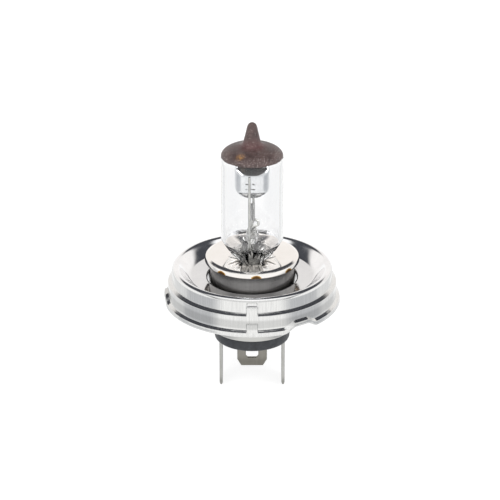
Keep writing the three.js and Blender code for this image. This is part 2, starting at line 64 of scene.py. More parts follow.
(_, _, PINCH_FOOT), (TUBE, _, _) = node_box("glass_envelope")
(_, _, COAT_FOOT), (COAT, _, TIP_TOP) = node_box("dome_coating")
(_, _, DISC_FOOT), (DISC, _, DISC_TOP) = node_box("cap_disc")
(_, _, CAN_FOOT), (CAN, _, CAN_TOP) = node_box("can_shell")
(_, _, LIP_FOOT), (LIP, _, CREST) = node_box("prefocus_collar")
(_, _, BASE_FOOT), (BASE, _, BASE_TOP) = node_box("insulator_base")
SHIELD_LO, SHIELD_HI = node_box("dip_shield")
BRIDGE_LO, BRIDGE_HI = node_box("quartz_bridge")
ROD_TOP = node_box("shield_rod")[1][2]
FOIL_TOP = node_box("foil_front")[1][2]
LEAD_NEAR, LEAD_FAR = (corner[1] for corner in node_box("foil_rear"))
LEAD = LEAD_NEAR + (LEAD_FAR - LEAD_NEAR) / 2  # how far the outer wires stand from the middle one

# ---------- sizes the frame doesn't give ----------

SHEET = 0.6
GLASS_WALL = 0.95
PINCH_X, PINCH_Y = 1.9, 5.5
SHOULDER = DISC_TOP + 4.6
WIRE = 0.32


# ---------- mesh helpers ----------


def new_object(name, vertices, faces, material):
    """A mesh object in the scene, from vertices in metres."""
    mesh = bpy.data.meshes.new(name)
    mesh.from_pydata(vertices, [], faces)
    mesh.materials.append(material)
    obj = bpy.data.objects.new(name, mesh)
    bpy.context.collection.objects.link(obj)
    return obj


def make_object(name, vertices, faces, look, sharp, body="root"):
    """A piece from vertices in millimetres, smooth except at edges sharper than an angle in degrees."""
    metres = [tuple(v * MM for v in p) for p in vertices]
    obj = new_object(name, metres, [tuple(map(int, f)) for f in faces], look)
    obj.data.validate()
    obj.data.shade_smooth()
    obj.data.set_sharp_from_angle(angle=math.radians(sharp))
    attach(obj, body)
    return obj


def full_turn(count):
    return np.linspace(0, 2 * math.pi, count, endpoint=False)


def grid_faces(rows, columns, wrap_rows, wrap_columns):
    """Quads between the points of a grid that is stored row by row."""
    faces = []
    for i in range(rows if wrap_rows else rows - 1):
        for j in range(columns if wrap_columns else columns - 1):
            a, b = i * columns + j, i * columns + (j + 1) % columns
            c, d = ((i + 1) % rows) * columns + (j + 1) % columns, ((i + 1) % rows) * columns + j
            faces.append((a, b, c, d))
    return faces


def capped_faces(rings, columns):
    """Faces of a stack of rings between two poles, which are the first and the last vertex."""
    faces = [tuple(1 + k for k in f) for f in grid_faces(rings, columns, False, True)]
    top = 1 + (rings - 1) * columns
    for j in range(columns):
        faces.append((0, 1 + (j + 1) % columns, 1 + j))
        faces.append((top + columns, top + j, top + (j + 1) % columns))
    return faces


def revolved(profile, azimuths, warp=None):
    """Points of a (radius, height) profile at each azimuth. warp(index, azimuth, r, z) moves them."""
    vertices = []
    for i, (r, z) in enumerate(profile):
        for a in azimuths:
            rr, zz = warp(i, a, r, z) if warp else (r, z)
            vertices.append((rr * math.cos(a), rr * math.sin(a), zz))
    return vertices


def turned(profile, azimuths, warp=None):
    """A closed profile, anticlockwise, turned about the lamp axis."""
    faces = [f[::-1] for f in grid_faces(len(profile), len(azimuths), True, True)]
    return revolved(profile, azimuths, warp), faces


def turned_solid(profile, azimuths, warp=None):
    """The same for a profile that starts and ends on the axis: its ends become poles."""
    foot, top = ((0, 0, profile[end][1]) for end in (0, -1))
    vertices = [foot, *revolved(profile[1:-1], azimuths, warp), top]
    return vertices, capped_faces(len(profile) - 2, len(azimuths))


def joined(*parts):
    """Several (vertices, faces) as one."""
    vertices, faces = [], []
    for v, f in parts:
        faces += [tuple(k + len(vertices) for k in face) for face in f]
        vertices += list(v)
    return vertices, faces


def arc(x, y, radius, start, end, steps):
    """Points of an arc, in degrees."""
    angles = np.radians(np.linspace(start, end, steps + 1))
    return [(x + radius * math.cos(a), y + radius * math.sin(a)) for a in angles]


def bent(start, corner, end, shares):
    """Points of the quadratic curve that leaves start and reaches end in line with the corner."""
    a, b, c = (np.array(p, float) for p in (start, corner, end))
    return [tuple((1 - t) ** 2 * a + 2 * t * (1 - t) * b + t * t * c) for t in shares]


def rounded(points, radii, steps=6):
    """An open polyline with its corners rounded."""
    out = []
    for i, (p, r) in enumerate(zip(points, radii)):
        if not r:
            out.append(tuple(p))
            continue
        before, here, after = (np.array(points[k], float) for k in (i - 1, i, (i + 1) % len(points)))
        u, v = before - here, after - here
        u, v = u / np.linalg.norm(u), v / np.linalg.norm(v)
        reach = r / math.tan(math.acos(float(np.clip(u @ v, -1, 1))) / 2)
        out += bent(here + u * reach, here, here + v * reach, np.linspace(0, 1, steps + 1))
    return out


def offset(points, distance):
    """An open polyline moved to its right by a distance, with mitred corners."""
    pts = [np.array(p, float) for p in points]
    out = []
    for i, p in enumerate(pts):
        normals = []
        for a, b in ((i - 1, i), (i, i + 1)):
            if a < 0 or b >= len(pts):
                continue
            d = pts[b] - pts[a]
            length = np.linalg.norm(d)
            if length > 1e-9:
                normals.append(np.array([d[1], -d[0]]) / length)
        n = sum(normals)
        n = n / np.linalg.norm(n)
        out.append(tuple(p + n * distance / max(float(n @ normals[0]), 0.5)))
    return out


def spline(points, per_span):
    """A smooth curve through points of any dimension."""
    p = np.array(points, float)
    p = np.vstack([2 * p[0] - p[1], p, 2 * p[-1] - p[-2]])
    out = []
    for i in range(1, len(p) - 2):
        a, b, c, d = p[i - 1 : i + 3]
        square, cube = 2 * a - 5 * b + 4 * c - d, 3 * b - a - 3 * c + d
        for t in np.linspace(0, 1, per_span, endpoint=False):
            out.append(0.5 * (2 * b + (c - a) * t + square * t * t + cube * t**3))
    out.append(p[-2])
    return np.array(out)


def swept(path, radius, sides):
    """A round wire along a path, with domed ends."""
    path = np.array(path, float)
    tangents = np.gradient(path, axis=0)
    tangents /= np.linalg.norm(tangents, axis=1)[:, None]
    normal = np.cross(tangents[0], (0.31, 0.95, 0.05))
    normal = normal / np.linalg.norm(normal)
    dome_rings = 4
    lifts = [math.sin(k / (dome_rings + 1) * math.pi / 2) for k in range(1, dome_rings + 1)]

    def dome_ring(end, sign, lift):
        centre = path[end] + sign * tangents[end] * radius * lift
        return centre, normal, tangents[end], radius * math.cos(math.asin(lift))

    rings = [dome_ring(0, -1, lift) for lift in lifts[::-1]]
    for p, t in zip(path, tangents):
        normal = normal - t * (normal @ t)
        normal /= np.linalg.norm(normal)
        rings.append((p, normal, t, radius))
    rings += [dome_ring(-1, 1, lift) for lift in lifts]
    vertices = [tuple(path[0] - tangents[0] * radius)]
    for centre, n, t, r in rings:
        side = np.cross(t, n)
        for a in full_turn(sides):
            vertices.append(tuple(centre + r * (math.cos(a) * n + math.sin(a) * side)))
    vertices.append(tuple(path[-1] + tangents[-1] * radius))
    return vertices, capped_faces(len(rings), sides)


def superellipse(half_x, half_y, power, angles):
    c, s = np.cos(angles), np.sin(angles)
    r = ((np.abs(c) / half_x) ** power + (np.abs(s) / half_y) ** power) ** (-1 / power)
    return r * c, r * s


def lofted(sections, count=160):
    """A solid through (height, half x, half y, power) sections from the foot up, closed at both ends."""
    vertices = [(0, 0, sections[0][0])]
    for z, hx, hy, power in sections:
        xs, ys = superellipse(max(hx, 0.02), max(hy, 0.02), power, full_turn(count))
        vertices += [(x, y, z) for x, y in zip(xs, ys)]
    vertices.append((0, 0, sections[-1][0]))
    return vertices, capped_faces(len(sections), count)


def flipped(part):
    return part[0], [f[::-1] for f in part[1]]


def ease(t):
    """A smooth step from 0 to 1 as t goes from 0 to 1."""
    t = min(max(t, 0.0), 1.0)
    return t * t * (3 - 2 * t)


def edit_mesh(mesh, change):
    """Runs change on a bmesh copy of a mesh, and puts the result back."""
    bm = bmesh.new()
    bm.from_mesh(mesh)
    change(bm)
    bm.to_mesh(mesh)
    bm.free()


def weld(obj):
    """Merges coincident vertices and turns the faces out."""

    def merge(bm):
        bmesh.ops.remove_doubles(bm, verts=bm.verts, dist=1e-7)
        bmesh.ops.recalc_face_normals(bm, faces=bm.faces)

    edit_mesh(obj.data, merge)


# ---------- material helpers ----------


class Nodes:
    """A node tree that starts empty. A value is a number, a colour or the output of a node."""

    def __init__(self, tree, coordinates):
        self.tree = tree
        tree.nodes.clear()
        self.place = self.node("ShaderNodeTexCoord").outputs[coordinates]

    def node(self, kind, **values):
        made = self.tree.nodes.new(kind)
        for key, value in values.items():
            setattr(made, key, value)
        return made

    def feed(self, socket, value):
        """Links an output, or sets a plain value."""
        if isinstance(value, bpy.types.NodeSocket):
            self.tree.links.new(value, socket)
        else:
            socket.default_value = value

    def math(self, operation, a, b=0.0):
        made = self.node("ShaderNodeMath", operation=operation)
        self.feed(made.inputs[0], a)
        self.feed(made.inputs[1], b)
        return made.outputs[0]

    def times(self, a, b):
        return self.math("MULTIPLY", a, b)

    def distance(self, a, b):
        return self.math("ABSOLUTE", self.math("SUBTRACT", a, b))

    def spread(self, source, low, high, to_low=0.0, to_high=1.0):
        """Maps a range to another, smoothly and clamped."""
        made = self.node("ShaderNodeMapRange", interpolation_type="SMOOTHSTEP")
        self.feed(made.inputs["Value"], source)
        for key, value in (("From Min", low), ("From Max", high), ("To Min", to_low), ("To Max", to_high)):
            made.inputs[key].default_value = value
        return made.outputs["Result"]

    def mix(self, share, a, b):
        """Two colours mixed by a share."""
        made = self.node("ShaderNodeMix", data_type="RGBA")
        self.feed(made.inputs["Factor"], share)
        sockets = [s for s in made.inputs if s.type == "RGBA"]
        for socket, value in zip(sockets, (a, b)):
            self.feed(socket, (*value, 1) if isinstance(value, tuple) else value)
        return next(s for s in made.outputs if s.type == "RGBA")

    def axes(self):
        parts = self.node("ShaderNodeSeparateXYZ")
        self.feed(parts.inputs[0], self.place)
        return parts.outputs


class Look(Nodes):
    """A Principled material and the nodes that vary it. Positions are object coordinates in metres."""

    def __init__(self, name, **sockets):
        self.material = bpy.data.materials.new(name)
        self.material.use_nodes = True
        super().__init__(self.material.node_tree, "Object")
        self.shader = self.node("ShaderNodeBsdfPrincipled")
        self.feed(self.node("ShaderNodeOutputMaterial").inputs["Surface"], self.shader.outputs[0])
        self.set(**sockets)

    def set(self, **sockets):
        for key, value in sockets.items():
            self.feed(self.shader.inputs[key.replace("_", " ")], value)

    def scaled(self, scale):
        """The coordinates stretched along the axes."""
        made = self.node("ShaderNodeVectorMath", operation="MULTIPLY")
        self.feed(made.inputs[0], self.place)
        made.inputs[1].default_value = scale
        return made.outputs[0]

    def noise(self, size, detail=3.0, vector=None):
        """Noise whose features are about size millimetres across."""
        made = self.node("ShaderNodeTexNoise")
        made.inputs["Scale"].default_value = 1 / (size * MM)
        made.inputs["Detail"].default_value = detail
        made.inputs["Roughness"].default_value = 0.55
        self.feed(made.inputs["Vector"], vector or self.place)
        return made.outputs["Fac"]

    def ramp(self, source, *stops):
        """A colour ramp of (place, colour) stops."""
        made = self.node("ShaderNodeValToRGB")
        bar = made.color_ramp
        while len(bar.elements) < len(stops):
            bar.elements.new(0.5)
        for element, (place, colour) in zip(bar.elements, stops):
            element.position = place
            element.color = (*colour, 1)
        self.feed(made.inputs["Fac"], source)
        return made.outputs["Color"]

    def tones(self, source, dark, light, full=0.7):
        """Colours from dark where the noise is low to light where it is high."""
        return self.ramp(source, (0.3, dark), (full, light))

    def vary(self, source, low, high):
        """A number from low where the noise is low to high where it is high."""
        return self.spread(source, 0.3, 0.7, low, high)

    def polar(self):
        """(azimuth in radians, radius in metres, height in metres)."""
        x, y, z = self.axes()
        radius = self.math("SQRT", self.math("ADD", self.times(x, x), self.times(y, y)))
        return self.math("ARCTAN2", y, x), radius, z

    def near(self, point, size):
        """1 at a point in millimetres, falling to 0 at size away."""
        made = self.node("ShaderNodeVectorMath", operation="DISTANCE")
        self.feed(made.inputs[0], self.place)
        made.inputs[1].default_value = [v * MM for v in point]
        return self.spread(made.outputs["Value"], 0, size * MM, 1, 0)

    def bump(self, height, strength, depth, under=None):
        """Bump of a depth in millimetres, on top of another bump."""
        made = self.node("ShaderNodeBump")
        made.inputs["Strength"].default_value = strength
        made.inputs["Distance"].default_value = depth * MM
        self.feed(made.inputs["Height"], height)
        if under is not None:
            self.feed(made.inputs["Normal"], under)
        self.set(Normal=made.outputs["Normal"])
        return made.outputs["Normal"]


# ---------- materials ----------


def quartz_look(name, waviness, wave_size):
    look = Look(name, Metallic=0.0, Roughness=0.0, IOR=1.46, Transmission_Weight=1.0)
    look.set(Base_Color=look.tones(look.noise(4.0), (0.985, 0.988, 0.992), (1.0, 1.0, 1.0), 0.8))
    look.bump(look.noise(wave_size, 1.0), waviness, 0.1)
    return look.material


def pressed_look():
    """The pinch below the disc, where the jaws left the quartz milky."""
    look = Look("pressed_quartz", Metallic=0.0, IOR=1.46, Transmission_Weight=0.35)
    marks = look.noise(0.9, 3.0, look.scaled((1.0, 1.0, 0.3)))
    look.set(Base_Color=look.ramp(marks, (0.35, (0.50, 0.51, 0.52)), (0.6, (0.97, 0.97, 0.97))))
    look.set(Roughness=look.vary(marks, 0.35, 0.6))
    look.bump(marks, 0.5, 0.15)
    return look.material


def paint_look():
    """Heat paint: blotched brown, redder near the tip, specked towards its edge, scorched at one spot."""
    look = Look("brown_heat_paint", Metallic=0.0, IOR=1.5, Specular_IOR_Level=0.55)
    _, radius, z = look.polar()
    blotch = look.noise(1.6, 3.0)
    browns = (0.25, (0.040, 0.026, 0.025)), (0.55, (0.078, 0.050, 0.047)), (0.8, (0.120, 0.088, 0.080))
    base = look.ramp(blotch, *browns)
    below_tip = look.spread(z, (TIP_TOP - 3) * MM, (TIP_TOP - 6) * MM)
    near_tip = look.times(look.spread(radius, 1.8 * MM, 4.4 * MM, 1, 0), below_tip)
    base = look.mix(look.times(near_tip, 0.65), base, (0.105, 0.038, 0.040))
    specks = look.spread(look.noise(0.3, 2.0), 0.56, 0.68)
    edge = look.spread(radius, 4.6 * MM, 7.4 * MM, 0.35, 1.25)
    base = look.mix(look.times(specks, look.times(edge, 0.6)), base, (0.42, 0.36, 0.34))
    pits = look.spread(look.noise(0.35, 2.0, look.scaled((1.3, 1.1, 1.7))), 0.34, 0.24)
    base = look.mix(look.times(pits, 0.55), base, (0.038, 0.024, 0.022))
    scorch = look.near((-2.9, -5.4, COAT_FOOT + 1.9), 1.6)
    stain = look.times(scorch, look.spread(look.noise(0.3), 0.4, 0.62))
    base = look.mix(look.times(stain, 0.9), base, (0.50, 0.26, 0.08))
    look.set(Base_Color=base, Roughness=look.vary(blotch, 0.36, 0.52))
    coarse = look.bump(look.noise(0.9, 2.0), 0.4, 0.15)
    look.bump(look.noise(0.2, 3.0), 0.7, 0.05, coarse)
    return look.material


def shield_look():
    """Bright sheet with two short rows of dark weld marks at the front."""
    look = Look("bright_shield_sheet", Metallic=1.0)
    tone = look.tones(look.noise(2.2), (0.74, 0.755, 0.77), (0.88, 0.89, 0.90), 0.75)
    x, y, z = look.axes()
    middle, half = -0.35, 1.15
    across = look.spread(look.distance(x, middle * MM), half * MM, (half + 0.2) * MM, 1, 0)
    marks = 0.0
    for height in (LIP_FOOT + 32.8, LIP_FOOT + 31.45):
        row = look.spread(look.distance(z, height * MM), 0.10 * MM, 0.22 * MM, 1, 0)
        marks = look.math("MAXIMUM", marks, look.times(row, across))
    marks = look.times(marks, look.spread(look.noise(0.5), 0.35, 0.55))
    front = look.spread(y, -2.4 * MM, -2.8 * MM)
    look.set(Base_Color=look.mix(look.times(marks, front), tone, (0.05, 0.05, 0.05)))
    look.set(Roughness=look.vary(look.noise(1.4), 0.05, 0.11))
    look.bump(look.noise(2.4, 1.0), 0.12, 0.08)
    return look.material


def wire_look(name, dark, light, roughness):
    look = Look(name, Metallic=1.0)
    along = look.noise(0.5, 3.0, look.scaled((1.0, 1.0, 0.15)))
    look.set(Base_Color=look.tones(along, dark, light))
    look.set(Roughness=look.vary(look.noise(0.3), roughness * 0.8, roughness * 1.25))
    look.bump(along, 0.15, 0.02)
    return look.material


def nickel_look():
    """The disc: warm mirror nickel with an oval of heat tint at each weld spot round its rim."""
    look = Look("warm_nickel", Metallic=1.0)
    azimuth, radius, z = look.polar()
    tone = look.tones(look.noise(5.0), (0.90, 0.87, 0.835), (0.95, 0.925, 0.90))
    spacing = math.radians(45)
    first = -FRONT + math.radians(22.5 - 5)
    turns = look.math("DIVIDE", look.math("ADD", azimuth, first), spacing)
    across = look.times(look.distance(look.math("FRACT", turns), 0.5), 6.2)
    height = look.math("DIVIDE", look.math("SUBTRACT", z, DISC_FOOT * MM), 1.0 * MM)
    away = look.math("ADD", look.times(across, across), look.times(height, height))
    away = look.math("ADD", away, look.times(look.noise(0.35), 0.5))
    rim = look.spread(radius, (CAN + 0.2) * MM, (CAN + 0.6) * MM)
    burnt = look.times(look.spread(away, 0.5, 1.25, 1, 0), rim)
    straw, brown, black = (0.62, 0.40, 0.14), (0.30, 0.15, 0.03), (0.10, 0.05, 0.02)
    tint = look.ramp(burnt, (0.0, (0.93, 0.90, 0.86)), (0.35, straw), (0.75, brown), (1.0, black))
    tone = look.mix(look.spread(burnt, 0.02, 0.2), tone, tint)
    fringe = look.spread(z, (DISC_FOOT + 0.02) * MM, (DISC_FOOT + 0.22) * MM, 1, 0)
    tone = look.mix(look.times(look.times(fringe, rim), 0.5), tone, (0.50, 0.36, 0.20))
    look.set(Base_Color=tone, Roughness=look.vary(look.noise(1.2), 0.035, 0.07))
    look.bump(look.noise(6.0, 1.0), 0.05, 0.1)
    return look.material


def can_look():
    """Satin drawn steel with fine lines that run up the wall. Its dark base colour is painted shade where
    the wall stands in the collar's dish; below the collar it is paler.
    """
    look = Look("satin_steel", Metallic=1.0)
    lines = look.noise(0.22, 2.0, look.scaled((1.0, 1.0, 0.03)))
    tone = look.tones(lines, (0.30, 0.292, 0.285), (0.35, 0.342, 0.335))
    # painted shade: the wall keeps a dark base colour inside the collar's dish and turns paler below the
    # collar
    paler_below_collar = look.spread(look.axes()[2], (LIP_FOOT + 0.5) * MM, (LIP_FOOT - 1.0) * MM)
    tone = look.mix(paler_below_collar, tone, (0.60, 0.60, 0.58))
    look.set(Base_Color=tone, Roughness=look.vary(look.noise(1.0), 0.28, 0.38))
    look.bump(lines, 0.1, 0.02)
    return look.material


def collar_look():
    """Pressed zinc-plated steel: bright inside, finely lined where the sheet was drawn down outside."""
    look = Look("pressed_steel", Metallic=1.0)
    _, radius, z = look.polar()
    outside = look.spread(radius, 19.5 * MM, 20.1 * MM)
    # painted shade: the dish floor towards the neck is mixed a fifth of the way to black
    dish_shade = look.spread(radius, 15.0 * MM, 16.4 * MM, 0.80, 0.98)
    # a darker band all round the middle of the lower wall, a little above the lip
    below = look.spread(z, (LIP_FOOT + 4.5) * MM, (LIP_FOOT + 3.6) * MM)
    lower_wall_band = look.times(below, look.spread(z, (LIP_FOOT + 1.7) * MM, (LIP_FOOT + 2.3) * MM))
    lines = look.noise(0.26, 2.0, look.scaled((1.0, 1.0, 0.04)))
    patches = look.noise(3.5, 3.0)
    inner = look.mix(dish_shade, (0.0, 0.0, 0.0), look.tones(patches, (0.90, 0.90, 0.91), (0.98, 0.98, 0.985)))
    outer = look.tones(lines, (0.74, 0.74, 0.73), (0.84, 0.84, 0.83))
    outer = look.mix(look.times(lower_wall_band, 0.28), outer, (0.15, 0.15, 0.145))
    blend = look.node("ShaderNodeMix", data_type="FLOAT")
    look.feed(blend.inputs["Factor"], outside)
    look.feed(blend.inputs["A"], look.vary(patches, 0.07, 0.13))
    look.feed(blend.inputs["B"], look.vary(look.noise(1.5), 0.11, 0.17))
    look.set(Base_Color=look.mix(outside, inner, outer), Roughness=blend.outputs[0])
    ridges = look.bump(look.times(lines, outside), 0.13, 0.02)
    look.bump(look.noise(2.0, 2.0), 0.08, 0.08, ridges)
    return look.material


def plastic_look():
    look = Look("black_plastic", Metallic=0.0, IOR=1.5)
    tone = look.tones(look.noise(1.5, 4.0), (0.020, 0.022, 0.026), (0.042, 0.046, 0.052), 0.75)
    scratch = look.spread(look.noise(0.5, 2.0, look.scaled((0.35, 0.35, 3.0))), 0.66, 0.74)
    tone = look.mix(look.times(scratch, 0.25), tone, (0.16, 0.17, 0.18))
    look.set(Base_Color=tone, Roughness=look.vary(look.noise(0.8), 0.38, 0.52))
    look.bump(look.noise(0.25, 3.0), 0.2, 0.03)
    return look.material


def blade_look(name, shade):
    """Worn contact plating, streaked along the blade and darker at its tip."""
    look = Look(name, Metallic=1.0)
    streaks = look.noise(0.5, 3.0, look.scaled((1.0, 1.0, 0.08)))
    blotch = look.noise(2.5, 3.0)
    dark, light = tuple(0.78 * v for v in shade), tuple(1.12 * v for v in shade)
    tone = look.tones(look.times(look.math("ADD", streaks, blotch), 0.5), dark, light)
    tip = look.spread(look.axes()[2], 3.2 * MM, 1.2 * MM, 0.0, 0.45)
    tone = look.mix(tip, tone, (0.10, 0.095, 0.08))
    look.set(Base_Color=tone, Roughness=look.vary(blotch, 0.30, 0.42))
    look.bump(streaks, 0.2, 0.02)
    return look.material


def crown_look():
    look = Look("crown_sheet", Metallic=1.0)
    tone = look.tones(look.noise(0.8, 3.0), (0.24, 0.24, 0.235), (0.60, 0.60, 0.59))
    look.set(Base_Color=tone, Roughness=look.vary(look.noise(0.6), 0.08, 0.2))
    look.bump(look.noise(0.5, 2.0), 0.25, 0.05)
    return look.material


QUARTZ = quartz_look("quartz", 0.015, 7.0)
BEAD = quartz_look("quartz_bead", 0.5, 0.9)
PRESSED = pressed_look()
PAINT = paint_look()
SHIELD = shield_look()
WIRE_METAL = wire_look("lead_wire", (0.48, 0.48, 0.46), (0.74, 0.74, 0.71), 0.22)
TUNGSTEN = wire_look("tungsten", (0.34, 0.34, 0.35), (0.58, 0.58, 0.58), 0.34)
FOIL = wire_look("molybdenum_foil", (0.30, 0.29, 0.28), (0.50, 0.49, 0.47), 0.30)
NICKEL = nickel_look()
SATIN = can_look()
COLLAR = collar_look()
PLASTIC = plastic_look()
# one plating in two copies: the rear blade's copy is darker as painted shade, the side blades' copy paler
# as painted light
REAR_PLATING_SHADED = blade_look("rear_plating_shaded", (0.29, 0.28, 0.25))
SIDE_PLATING_LIT = blade_look("side_plating_lit", (0.50, 0.50, 0.48))
CROWN = crown_look()


# ---------- collar ----------

FLOOR_Z = CREST - 2.6
FLOOR_EDGE = 15.2
CREST_ROUND = 1.1
UPPER_WALL = LIP - 2.3
LOWER_WALL = LIP - 1.28
LEDGE_Z = LIP_FOOT + 5.5
LEDGE_DROP = 0.56
LIP_EDGE = LIP - 0.38
RIB_WIDTH = 2.75
NOTCH_AZIMUTHS = [math.radians(a) for a in (-56, 64, 184)]
NOTCH_HALF = math.radians(13)
NOTCH_RISE = 1.5
RIB_AZIMUTHS = [math.radians(a) for a in (-90, 30, 150)]
DENT = 0.28
CRINKLE = 0.012


def collar_profile():
    """The pressed sheet's upper and outer skin from the neck's foot to the lip."""
    centre = (UPPER_WALL - CREST_ROUND, CREST - CREST_ROUND)
    start = (centre[0] - CREST_ROUND * 0.7071, centre[1] + CREST_ROUND * 0.7071)
    slope_bend = start[0] - (start[1] - FLOOR_Z)
    neck = [(CAN + 0.35, FLOOR_Z - 3.2), (CAN + 0.75, FLOOR_Z), (FLOOR_EDGE, FLOOR_Z)]
    points = rounded(neck, [0, 0.95, 0], 10)
    points += bent(neck[-1], (slope_bend, FLOOR_Z), start, np.linspace(0, 1, 15)[1:-1])
    points += arc(*centre, CREST_ROUND, 135, 0, 16)
    lip_top = LIP_FOOT + SHEET
    corners = [
        points[-1],
        (UPPER_WALL, LEDGE_Z + LEDGE_DROP / 2),
        (LOWER_WALL, LEDGE_Z - LEDGE_DROP / 2),
        (LOWER_WALL + 0.04, lip_top + 1.02),
        (LIP_EDGE, lip_top + 0.52),
        (LIP_EDGE + 0.12, lip_top - 0.02),
    ]
    # more points down the walls, so that a rib can start between the bends
    dense = [points[-1]]
    for p in rounded(corners, [0, 0.1, 0.14, 0.08, 0.12, 0])[1:]:
        q = dense[-1]
        pieces = max(1, round(math.dist(p, q) / 0.16))
        dense += [tuple(np.array(q) + (np.array(p) - q) * k / pieces) for k in range(1, pieces + 1)]
    return points[:-1] + dense


def fill_corner(points, *path):
    """Points of the skin between the ends of a path moved on to the path, by index."""
    a, b = (min(range(len(points)), key=lambda i: math.dist(points[i], path[end])) for end in (0, -1))
    lengths = [math.dist(points[i], points[i - 1]) for i in range(a + 1, b + 1)]
    route = [points[a], *path[1:-1], points[b]]
    legs = [math.dist(p, q) for p, q in zip(route, route[1:])]
    gone, moved = 0.0, {}
    for i, step in zip(range(a + 1, b + 1), lengths):
        gone += step
        left = gone / sum(lengths) * sum(legs)
        for p, q, leg in zip(route, route[1:], legs):
            if left <= leg:
                break
            left -= leg
        moved[i] = np.array(p) + (np.array(q) - np.array(p)) * min(left / leg, 1.0)
    return moved


def wrapped(angle):
    return (angle + math.pi) % (2 * math.pi) - math.pi


def make_collar():
    """The pressed collar: one sheet, with filled corners for ribs and with notches in the lip."""
    skin = collar_profile()
    under = offset(skin, SHEET)
    # the underside keeps clear of itself in the tight bends
    clear = [p for p, q in zip(under[1:-1], skin[1:-1]) if math.dist(p, q) < 2 * SHEET]
    under = [under[0], *clear, under[-1]]
    lip_edge = arc(LIP_EDGE - 0.12, LIP_FOOT + SHEET / 2, SHEET / 2 - 0.02, 40, -80, 6)
    profile = skin + lip_edge + under[::-1]
    upper = (UPPER_WALL, LEDGE_Z + 2.1), (LOWER_WALL - 0.2, LEDGE_Z + 1.55), (LOWER_WALL, LEDGE_Z - 0.9)
    lower = (
        (LOWER_WALL, LIP_FOOT + 3.4),
        (LOWER_WALL + 0.5, LIP_FOOT + 3.2),
        (LIP_EDGE + 0.05, LIP_FOOT + 1.0),
    )
    ribs = {**fill_corner(skin, *upper), **fill_corner(skin, *lower)}

    def warp(index, azimuth, r, z):
        lift = 0.0
        for centre in NOTCH_AZIMUTHS:
            share = 1 - abs(wrapped(azimuth - centre)) / NOTCH_HALF
            lift = max(lift, NOTCH_RISE * ease(share / 0.7))
        low = 1 - ease((z - LIP_FOOT - 2 * SHEET) / (5.5 - 4 * SHEET))
        outward = ease((r - (LOWER_WALL - 2 * SHEET - 0.3)) / 0.3)
        if index in ribs:
            for centre in RIB_AZIMUTHS:
                aside = abs(wrapped(azimuth - centre)) * r - RIB_WIDTH / 2
                weight = ease(0.5 - aside / 0.22)
                if weight > 0:
                    rr, zz = ribs[index]
                    r, z = r + (rr - r) * weight, z + (zz - z) * weight
        # a small dent in the upper wall over each rib
        for centre in RIB_AZIMUTHS:
            aside = abs(wrapped(azimuth - centre)) * r
            if r > UPPER_WALL - 0.4 and index < len(skin):
                across = ease((RIB_WIDTH / 2 - aside) / 0.3)
                height = ease((z - LEDGE_Z - 2.0) / 0.35) * ease((LEDGE_Z + 3.1 - z) / 0.35)
                r -= DENT * across * height
        crinkle = CRINKLE * noise.noise(Vector((math.cos(azimuth) * 24, math.sin(azimuth) * 24, z * 0.8)))
        edge = ease((r - LOWER_WALL - 0.2) / 0.4)
        return r + crinkle * edge - 0.03 * edge, z + outward * low * lift + 1.2 * crinkle * edge

    azimuths = set(np.round(np.linspace(-math.pi, math.pi, 320, endpoint=False), 5))
    for centre in RIB_AZIMUTHS:
        for side in (-1, 1):
            middle = centre + side * RIB_WIDTH / 2 / 21
            azimuths |= {round(wrapped(middle + math.radians(k * 0.1)), 5) for k in range(-6, 7)}
    vertices, faces = turned(profile, sorted(azimuths), warp)
    vertices = [(x, y, max(z, LIP_FOOT)) for x, y, z in vertices]
    collar = make_object("collar_pressing", vertices, faces, COLLAR, sharp=50)
    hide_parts("prefocus_collar")


# ---------- can, disc, base and blades ----------


def make_can():
    wall, curl, opening = 0.5, 0.6, CAN - 1.2
    outer = [(opening, CAN_FOOT)] + arc(CAN - curl, CAN_FOOT + curl, curl, -90, 0, 8)
    outer += [(CAN, CAN_TOP - 6), (CAN, CAN_TOP)]
    inner = [(CAN - wall, CAN_TOP), (CAN - wall, CAN_FOOT + curl + wall), (opening, CAN_FOOT + wall)]
    can = make_object("can", *turned(outer + inner, full_turn(240)), SATIN, sharp=50)
    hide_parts("can_shell")


def make_disc():
    """A plate with a rolled rim and a slot for the crown."""
    slot_x, slot_y = 2.75, 6.35
    plate, inside = 0.4, CAN + 0.3
    corners = [
        (inside, DISC_TOP - plate),
        (inside, DISC_FOOT),
        (DISC - 0.1, DISC_FOOT),
        (DISC, DISC_FOOT + 0.1),
        (DISC - 0.2, DISC_TOP - 0.44),
    ]
    rings = rounded(corners, [0, 0.1, 0.05, 0.08, 0], 8)[:-1]
    rings += arc(DISC - 0.42, DISC_TOP - 0.5, 0.22, 14, 90, 8)
    # a sloping fold all round just inside the rim, then the plate up to the slot
    fold = [(DISC - 0.48, 0.28), (DISC - 0.52, 0.26), (DISC - 0.97, 0.02), (DISC - 1.03, 0.0)]
    middle = 10.0
    rings += [(r, DISC_TOP - drop) for r, drop in (*fold, (10.4, 0.0), (middle, 0.0))]
    azimuths = full_turn(240)
    slot = list(zip(azimuths, *superellipse(slot_x, slot_y, 10, azimuths)))
    vertices = revolved(rings, azimuths)
    for t, drop in ((0.5, 0.0), (0.9, 0.0), (1.0, 0.06), (1.0, plate), (0.5, plate)):
        for a, x, y in slot:
            place = middle * math.cos(a) * (1 - t) + x * t, middle * math.sin(a) * (1 - t) + y * t
            vertices.append((*place, DISC_TOP - drop))
    faces = grid_faces(len(rings) + 5, len(azimuths), True, True)
    disc = make_object("disc", vertices, faces, NICKEL, sharp=50)
    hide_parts("cap_disc")


